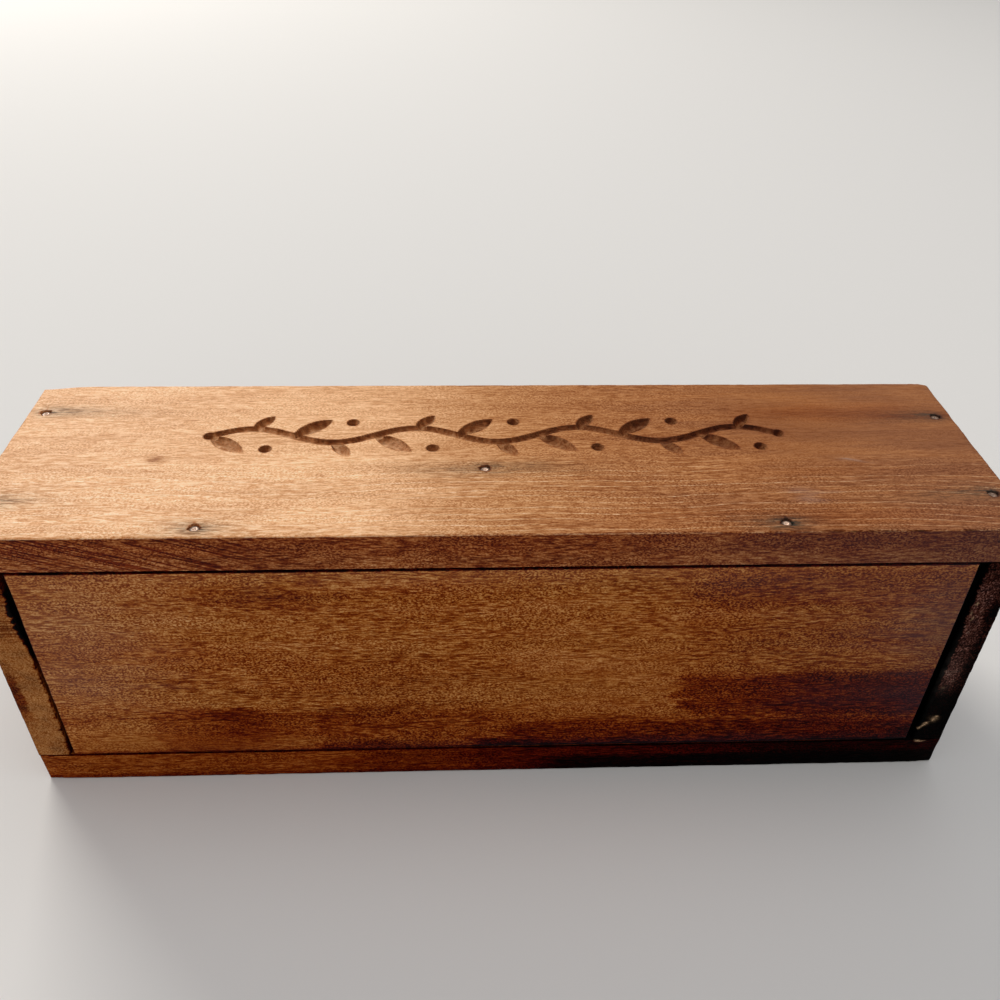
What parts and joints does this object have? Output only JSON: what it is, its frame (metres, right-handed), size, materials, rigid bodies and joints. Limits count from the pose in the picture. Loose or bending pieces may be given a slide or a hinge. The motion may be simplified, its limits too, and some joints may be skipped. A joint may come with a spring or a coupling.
{
  "type": "recipe card box",
  "caption": "Open wooden box for recipe cards, of nailed boards with a divider and a carved vine on its front, lying on its back.",
  "frame": {"origin": "under the middle of the box, on the surface that its back board lies on", "axes": "+X along the box's length, to the right for someone who faces the bottom board with the carving on top; +Y out of the open side; +Z from the back board up to the carved front board. Turned so that +Y points up, the box stands on its bottom board as it is used."},
  "size_m": [0.305, 0.082, 0.105],
  "materials": {
    "front_wood": "satin red-brown stain, paler where it is worn, fine grain along the board",
    "back_wood": "satin dark red-brown stain",
    "end_wood": "dark stain on rough sawn wood, end grain towards the bottom and the rim",
    "bottom_wood": "satin mid brown stain with darker blotches",
    "divider_wood": "thin brown stain",
    "nail_steel": "dull bright steel, darkened round the heads"
  },
  "bodies": {
    "root": {"front_board": "front_wood", "back_board": "back_wood", "left_end": "end_wood", "right_end": "end_wood", "bottom_board": "bottom_wood", "divider": "divider_wood", "front_end_nails": "nail_steel", "front_bottom_nails": "nail_steel", "front_divider_nail": "nail_steel", "back_end_nails": "nail_steel", "back_bottom_nails": "nail_steel", "back_divider_nail": "nail_steel"}
  },
  "joints": []
}
